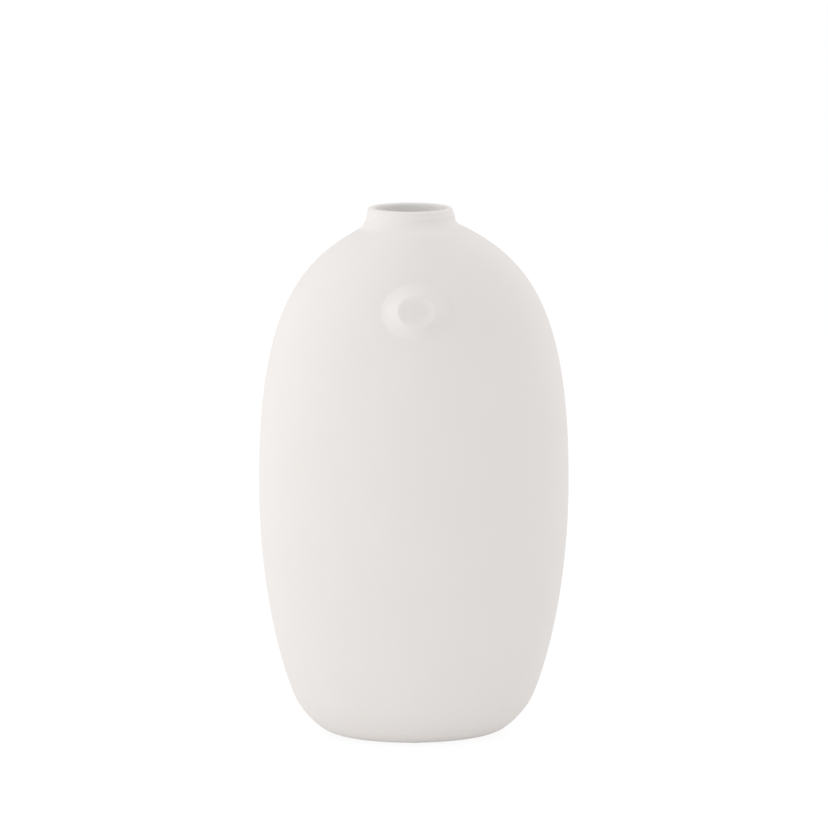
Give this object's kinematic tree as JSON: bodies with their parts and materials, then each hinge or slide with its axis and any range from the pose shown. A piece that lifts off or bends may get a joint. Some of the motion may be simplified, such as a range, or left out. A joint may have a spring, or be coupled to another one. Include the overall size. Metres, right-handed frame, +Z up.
{
  "type": "pillow vase",
  "caption": "Flattened oval vase with a short round neck, a rounded lip and a dished oval button on the front of its shoulder.",
  "frame": {"origin": "middle of the footprint, on the surface that the vase stands on", "axes": "+Z up towards the mouth, -Y towards the front with the button, X across the width"},
  "size_m": [0.145, 0.0908, 0.25],
  "materials": {
    "clay": "matte",
    "glaze": "gloss",
    "pad": "matte"
  },
  "bodies": {
    "root": {"body_shell": "clay", "base_slab": "clay", "neck_collar": "clay", "button": "clay", "inner_glaze": "glaze", "foot_pad_front": "pad", "foot_pad_back": "pad", "foot_pad_left": "pad", "foot_pad_right": "pad"}
  },
  "joints": []
}
